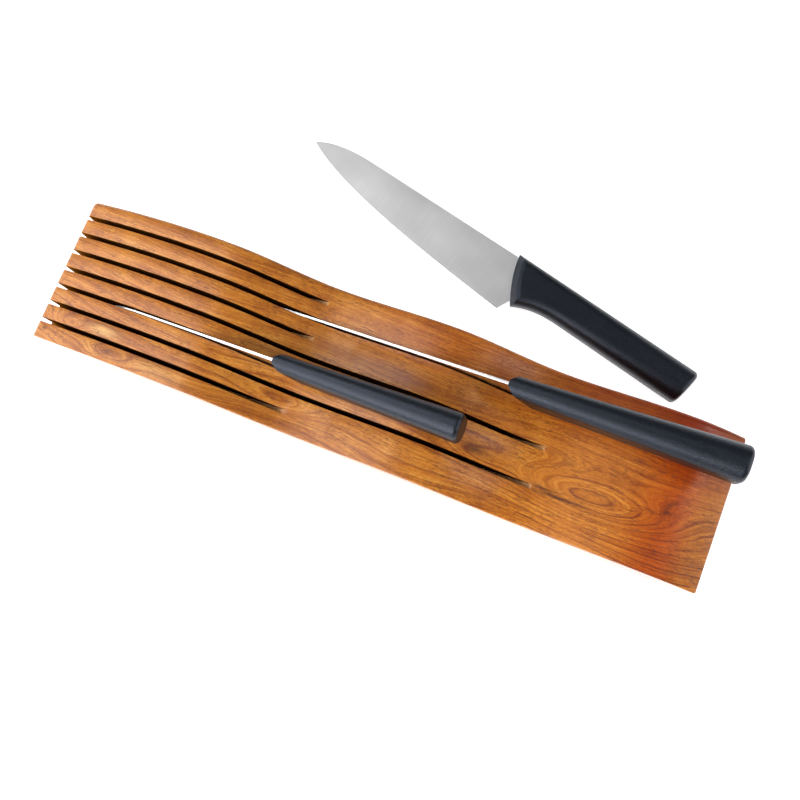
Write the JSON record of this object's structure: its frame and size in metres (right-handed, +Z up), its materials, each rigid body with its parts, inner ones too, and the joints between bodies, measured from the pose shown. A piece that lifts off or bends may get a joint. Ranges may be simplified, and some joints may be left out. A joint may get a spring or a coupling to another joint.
{
  "type": "knife block with knives",
  "caption": "Low hardwood drawer block with a waved top and long saw slots, holding black-handled kitchen knives, with a further knife lying beside it.",
  "frame": {"origin": "centre of the block's base, on the surface that the block stands on", "axes": "+X along the block from its slotted end to its plain end, +Y across it to the back, +Z up"},
  "size_m": [0.429, 0.1978, 0.1001],
  "materials": {
    "wood": "oiled satin",
    "blade_steel": "satin brushed",
    "handle_plastic": "fine matte"
  },
  "bodies": {
    "block": {"block": "wood"},
    "large_knife": {"large_blade": "blade_steel", "large_handle": "handle_plastic"},
    "small_knife": {"small_blade": "blade_steel", "small_handle": "handle_plastic"},
    "loose_knife": {"loose_blade": "blade_steel", "loose_handle": "handle_plastic"}
  },
  "joints": [
    {"name": "large_knife_lift", "type": "slide", "parent": "block", "child": "large_knife", "axis": [0, 0, 1], "range_m": [0, 0.05]},
    {"name": "small_knife_lift", "type": "slide", "parent": "block", "child": "small_knife", "axis": [0, 0, 1], "range_m": [0, 0.04]},
    {"name": "loose_knife_lift", "type": "slide", "parent": "block", "child": "loose_knife", "axis": [0, 0, 1], "range_m": [0, 0.06]}
  ]
}
